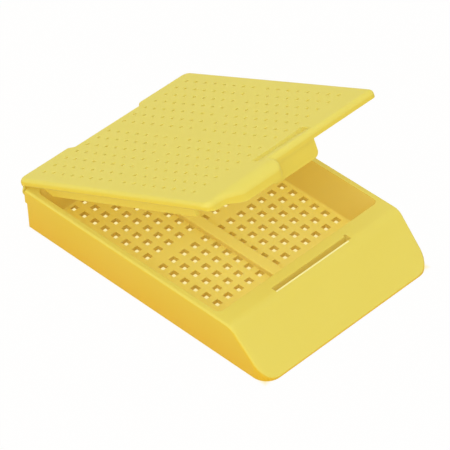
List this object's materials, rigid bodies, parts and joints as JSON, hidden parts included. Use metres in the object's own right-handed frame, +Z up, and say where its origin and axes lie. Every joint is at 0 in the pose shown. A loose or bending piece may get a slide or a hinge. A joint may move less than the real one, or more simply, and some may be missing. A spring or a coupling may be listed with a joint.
{
  "type": "tissue cassette",
  "caption": "Perforated tissue cassette: a tray with a sloping front panel and a latch slot, and a perforated lid on living hinge straps.",
  "frame": {"origin": "middle of the tray's flat underside", "axes": "+X to the sloping front panel, +Y to the right side seen from the front, +Z up from the underside"},
  "size_m": [0.0405, 0.0286, 0.0215],
  "materials": {
    "yellow_acetal": "satin moulded acetal"
  },
  "bodies": {
    "tray": {"tray": "yellow_acetal", "left_hinge_strap": "yellow_acetal", "right_hinge_strap": "yellow_acetal"},
    "lid": {"lid": "yellow_acetal"}
  },
  "joints": [
    {"name": "lid_hinge", "type": "hinge", "parent": "tray", "child": "lid", "pos_m": [-0.02038, 0, 0.00496], "axis": [0, -1, 0], "range_deg": [-25.6, 154.4], "deforming": ["left_hinge_strap", "right_hinge_strap"]}
  ]
}
